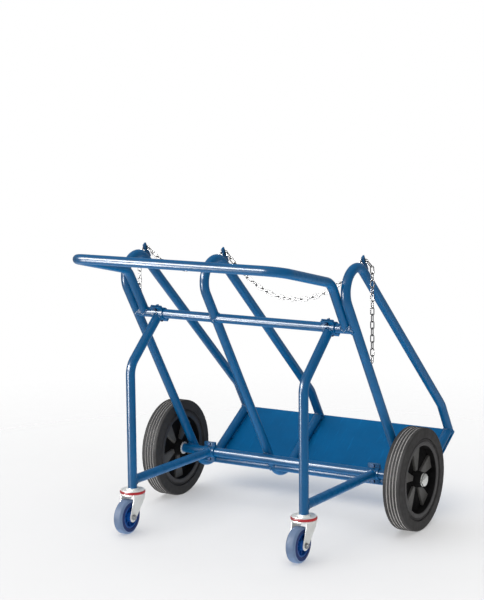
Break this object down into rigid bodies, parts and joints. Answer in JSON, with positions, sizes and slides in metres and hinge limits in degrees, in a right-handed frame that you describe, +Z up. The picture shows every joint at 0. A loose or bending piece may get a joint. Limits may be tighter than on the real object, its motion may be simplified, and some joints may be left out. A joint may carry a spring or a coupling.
{
  "type": "gas cylinder trolley",
  "caption": "Leaning tubular trolley with side-by-side bays for gas cylinders, a bent push handle, large main wheels, clamped-on castor legs, a footplate and a retaining chain.",
  "frame": {"origin": "on the floor, under the middle of the trolley's overall box", "axes": "+X along the axle, to the right of someone at the handle; +Y from the handle towards the toe; +Z up"},
  "size_m": [0.9046, 1.0003, 0.8279],
  "materials": {
    "frame_paint": "gloss",
    "bare_steel": "satin",
    "zinc_plate": "bright zinc",
    "chain_steel": "zinc",
    "wheel_plastic": "moulded",
    "tyre_rubber": "moulded",
    "castor_plastic": "moulded",
    "castor_rubber": "satin",
    "seal_plastic": "moulded"
  },
  "bodies": {
    "frame": {"hoop_left": "frame_paint", "hoop_middle": "frame_paint", "hoop_right": "frame_paint", "upper_cross_left": "frame_paint", "upper_cross_right": "frame_paint", "lower_cross_left": "frame_paint", "lower_cross_right": "frame_paint", "footplate": "frame_paint", "handle": "frame_paint", "axle_tube": "frame_paint", "axle_shaft": "bare_steel", "axle_washers": "zinc_plate", "axle_caps": "zinc_plate", "castor_leg_left": "frame_paint", "castor_leg_right": "frame_paint", "castor_strut_left": "frame_paint", "castor_strut_right": "frame_paint", "upper_clamp_left": "frame_paint", "upper_clamp_right": "frame_paint", "lower_clamp_left": "frame_paint", "lower_clamp_right": "frame_paint", "clamp_bolts": "bare_steel", "clamp_nuts": "bare_steel", "castor_stem_left": "zinc_plate", "castor_stem_right": "zinc_plate", "chain_tab_left": "frame_paint", "chain_tab_middle": "frame_paint", "chain_tab_right": "frame_paint", "chain_anchors": "chain_steel"},
    "wheel_left": {"wheel_centre_left": "wheel_plastic", "tyre_left": "tyre_rubber", "bearing_left": "bare_steel"},
    "castor_left": {"castor_fork_left": "zinc_plate", "castor_seal_left": "seal_plastic", "castor_balls_left": "bare_steel", "castor_sleeve_left": "bare_steel", "castor_bolt_left": "zinc_plate"},
    "castor_wheel_left": {"castor_centre_left": "castor_plastic", "castor_tyre_left": "castor_rubber"},
    "chain_left": {"chain_left": "chain_steel"},
    "tail_left": {"chain_tail_left": "chain_steel"},
    "wheel_right": {"wheel_centre_right": "wheel_plastic", "tyre_right": "tyre_rubber", "bearing_right": "bare_steel"},
    "castor_right": {"castor_fork_right": "zinc_plate", "castor_seal_right": "seal_plastic", "castor_balls_right": "bare_steel", "castor_sleeve_right": "bare_steel", "castor_bolt_right": "zinc_plate"},
    "castor_wheel_right": {"castor_centre_right": "castor_plastic", "castor_tyre_right": "castor_rubber"},
    "chain_right": {"chain_right": "chain_steel"},
    "tail_right": {"chain_tail_right": "chain_steel"}
  },
  "joints": [
    {"name": "wheel_left_spin", "type": "hinge", "parent": "frame", "child": "wheel_left", "pos_m": [-0.413, 0.13408, 0.15], "axis": [1, 0, 0], "continuous": true},
    {"name": "castor_left_swivel", "type": "hinge", "parent": "frame", "child": "castor_left", "pos_m": [-0.2845, -0.28292, 0.1], "axis": [0, 0, 1], "continuous": true},
    {"name": "castor_left_roll", "type": "hinge", "parent": "castor_left", "child": "castor_wheel_left", "pos_m": [-0.2845, -0.31392, 0.05], "axis": [1, 0, 0], "continuous": true},
    {"name": "chain_left_swing", "type": "hinge", "parent": "frame", "child": "chain_left", "pos_m": [-0.22625, -0.08178, 0.80187], "axis": [1, 0, 0], "range_deg": [-20, 20]},
    {"name": "tail_left_swing", "type": "hinge", "parent": "frame", "child": "tail_left", "pos_m": [-0.37085, -0.08178, 0.80187], "axis": [1, 0, 0], "range_deg": [-20, 20]},
    {"name": "wheel_right_spin", "type": "hinge", "parent": "frame", "child": "wheel_right", "pos_m": [0.413, 0.13408, 0.15], "axis": [1, 0, 0], "continuous": true},
    {"name": "castor_right_swivel", "type": "hinge", "parent": "frame", "child": "castor_right", "pos_m": [0.2845, -0.28292, 0.1], "axis": [0, 0, 1], "continuous": true},
    {"name": "castor_right_roll", "type": "hinge", "parent": "castor_right", "child": "castor_wheel_right", "pos_m": [0.2845, -0.31392, 0.05], "axis": [1, 0, 0], "continuous": true},
    {"name": "chain_right_swing", "type": "hinge", "parent": "frame", "child": "chain_right", "pos_m": [0.13675, -0.08178, 0.80187], "axis": [1, 0, 0], "range_deg": [-20, 20]},
    {"name": "tail_right_swing", "type": "hinge", "parent": "frame", "child": "tail_right", "pos_m": [0.37085, -0.08178, 0.80187], "axis": [1, 0, 0], "range_deg": [-20, 20]}
  ]
}
